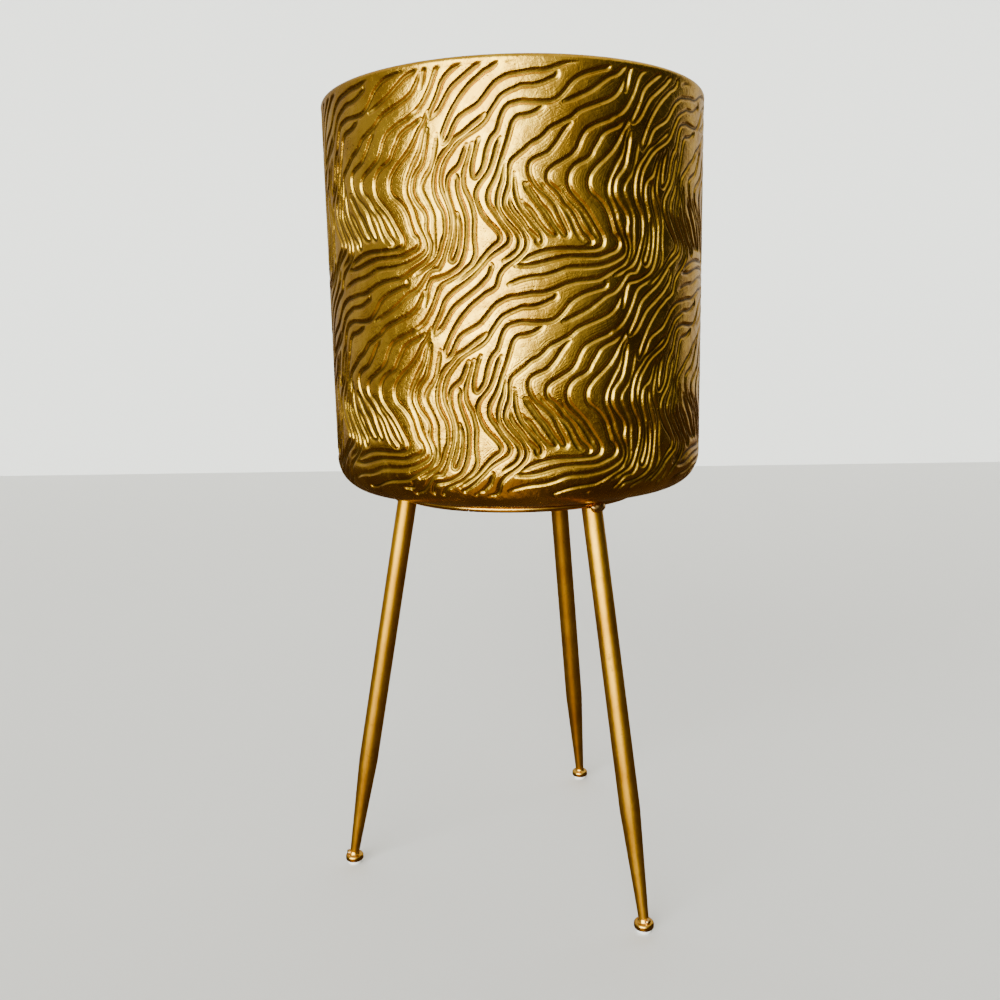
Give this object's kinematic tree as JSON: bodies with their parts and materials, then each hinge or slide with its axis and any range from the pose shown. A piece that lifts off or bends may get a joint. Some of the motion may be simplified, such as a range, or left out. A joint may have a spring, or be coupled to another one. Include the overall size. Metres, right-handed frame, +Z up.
{
  "type": "planter pot on stand",
  "caption": "Tall round planter pot in embossed brass-coloured sheet metal, resting in the ring of a splayed three-legged tube stand.",
  "frame": {"origin": "on the floor, on the vertical axis of the pot and the stand's ring", "axes": "+Z up along the pot's axis; the legs stand at 75, 195 and 315 degrees from +X towards +Y"},
  "size_m": [0.3867, 0.3867, 0.81],
  "materials": {
    "embossed_leaf": "satin antique gold over embossed ribs, with dark brown patina along them",
    "plain_leaf": "satin antique gold, smooth",
    "rim_wire": "plain drawn wire",
    "stand_gold": "satin orange gold",
    "foot_gold": "bright polished gold",
    "glide_white": "white moulded plastic"
  },
  "bodies": {
    "stand": {"stand_ring": "stand_gold", "leg_left": "stand_gold", "leg_front": "stand_gold", "leg_back": "stand_gold", "foot_cap_left": "foot_gold", "foot_cap_front": "foot_gold", "foot_cap_back": "foot_gold", "glide_left": "glide_white", "glide_front": "glide_white", "glide_back": "glide_white"},
    "pot": {"pot_wall": "embossed_leaf", "pot_base": "plain_leaf", "rim_wire": "rim_wire"}
  },
  "joints": [
    {"name": "pot_lift", "type": "slide", "parent": "stand", "child": "pot", "axis": [0, 0, 1], "range_m": [0, 0.12]}
  ]
}
